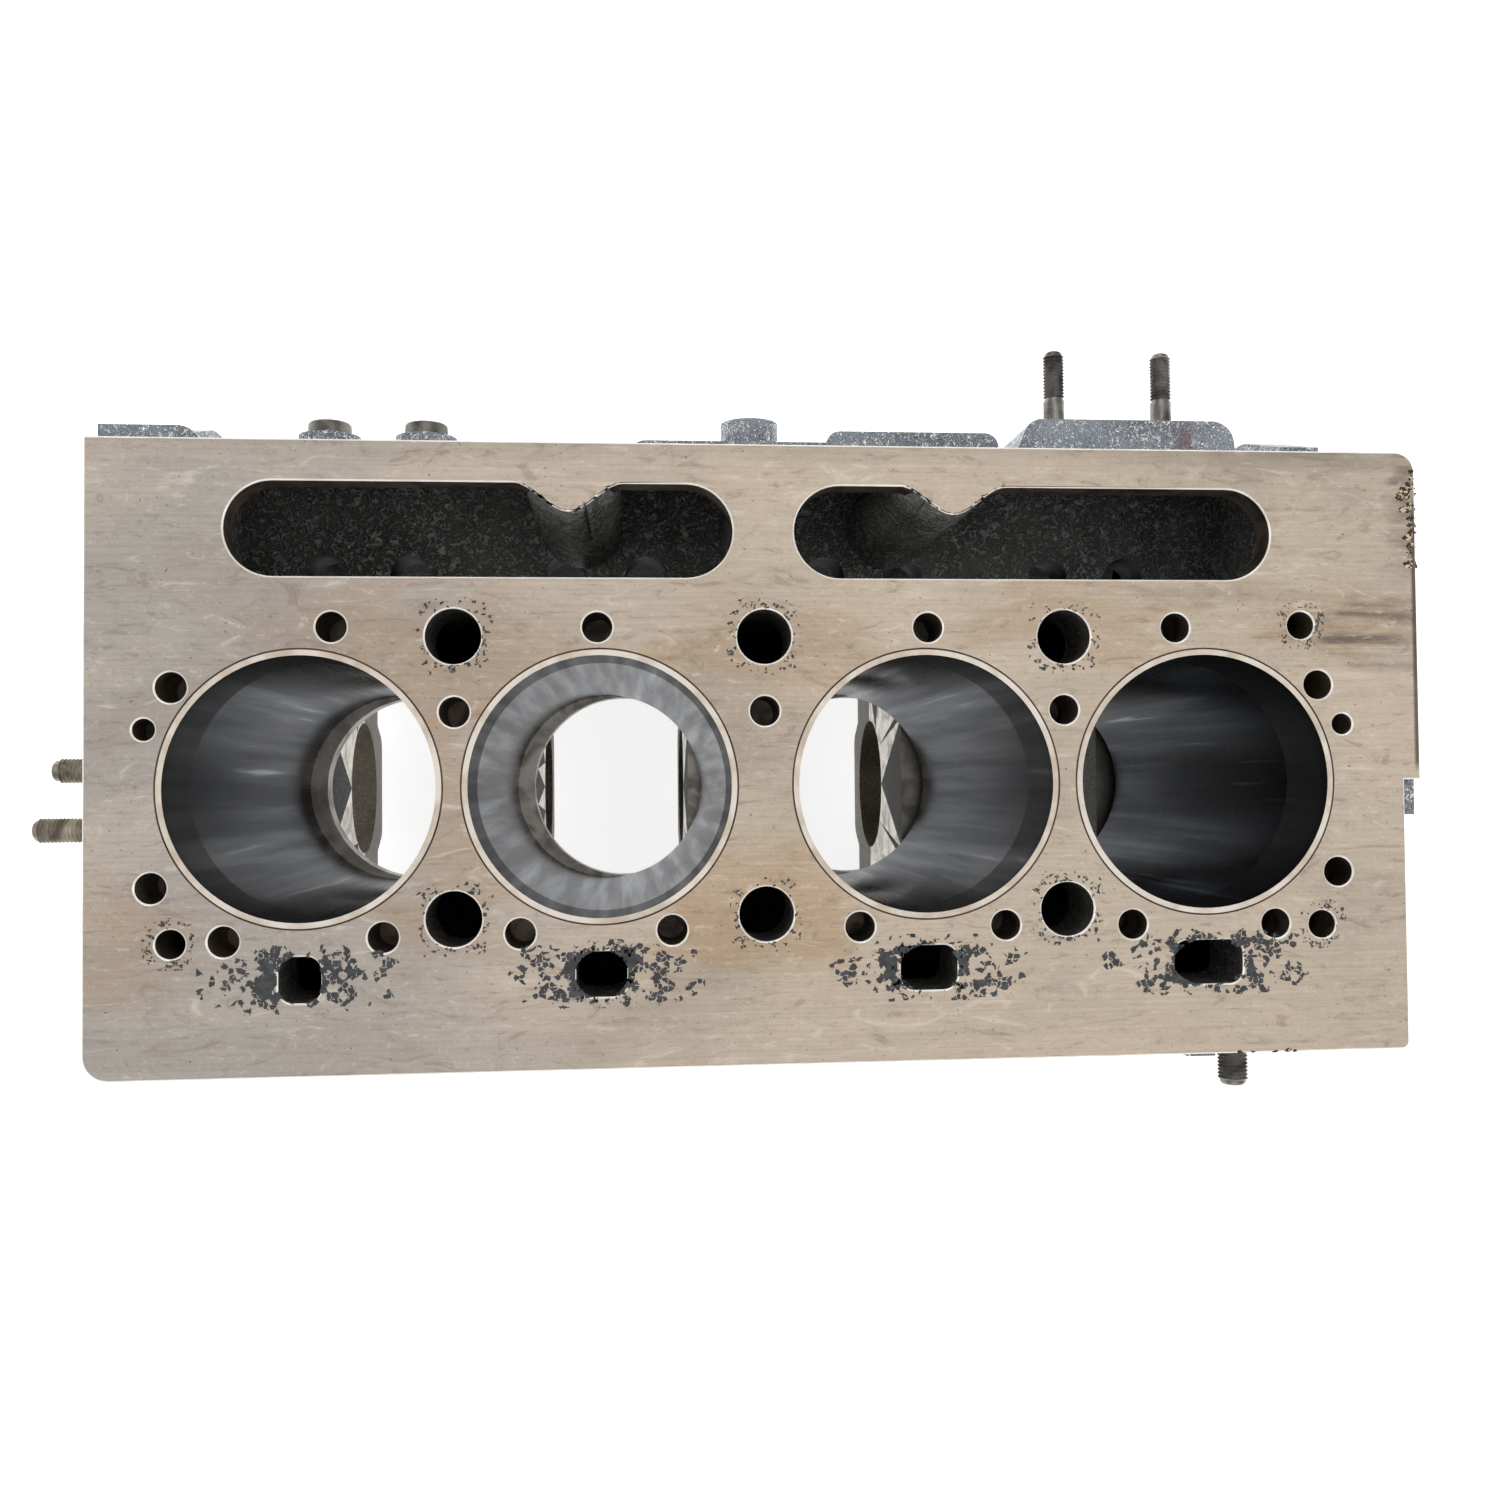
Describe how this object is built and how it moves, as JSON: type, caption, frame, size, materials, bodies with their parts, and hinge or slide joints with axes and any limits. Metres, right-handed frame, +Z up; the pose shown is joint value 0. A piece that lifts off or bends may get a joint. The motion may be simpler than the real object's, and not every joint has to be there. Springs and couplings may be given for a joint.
{
  "type": "engine block",
  "caption": "Inline diesel engine block with dry liners in round bores, long pushrod openings beside the deck, bearing caps, studs and plugs.",
  "frame": {"origin": "on the crankshaft axis, halfway between the second and third cylinders", "axes": "+X along the crankshaft from the timing end to the flywheel end, +Y to the camshaft side, +Z up through the deck"},
  "size_m": [0.5495, 0.3455, 0.441],
  "materials": {
    "block_iron": "machined deck with oxide stains, rough cast sides",
    "liner_iron": "worn honed bore",
    "cap_iron": "cast and machined",
    "bolt_steel": "black oxide",
    "plug_steel": "dull zinc",
    "dark_stud_steel": "oiled steel",
    "light_stud_steel": "dull steel"
  },
  "bodies": {
    "root": {"cylinder_block": "block_iron", "cylinder_liner_1": "liner_iron", "cylinder_liner_2": "liner_iron", "cylinder_liner_3": "liner_iron", "cylinder_liner_4": "liner_iron", "main_bearing_cap_1": "cap_iron", "main_bearing_cap_2": "cap_iron", "main_bearing_cap_3": "cap_iron", "main_bearing_cap_4": "cap_iron", "main_bearing_cap_5": "cap_iron", "main_cap_bolts": "bolt_steel", "core_plugs": "plug_steel", "lift_pump_stud_front": "dark_stud_steel", "lift_pump_stud_rear": "dark_stud_steel", "front_stud_upper": "light_stud_steel", "front_stud_lower": "light_stud_steel", "side_stud": "dark_stud_steel", "side_plug_front": "plug_steel", "side_plug_rear": "plug_steel", "camshaft_end_plug": "plug_steel", "gallery_plugs": "plug_steel", "water_drain_plug": "plug_steel"}
  },
  "joints": []
}
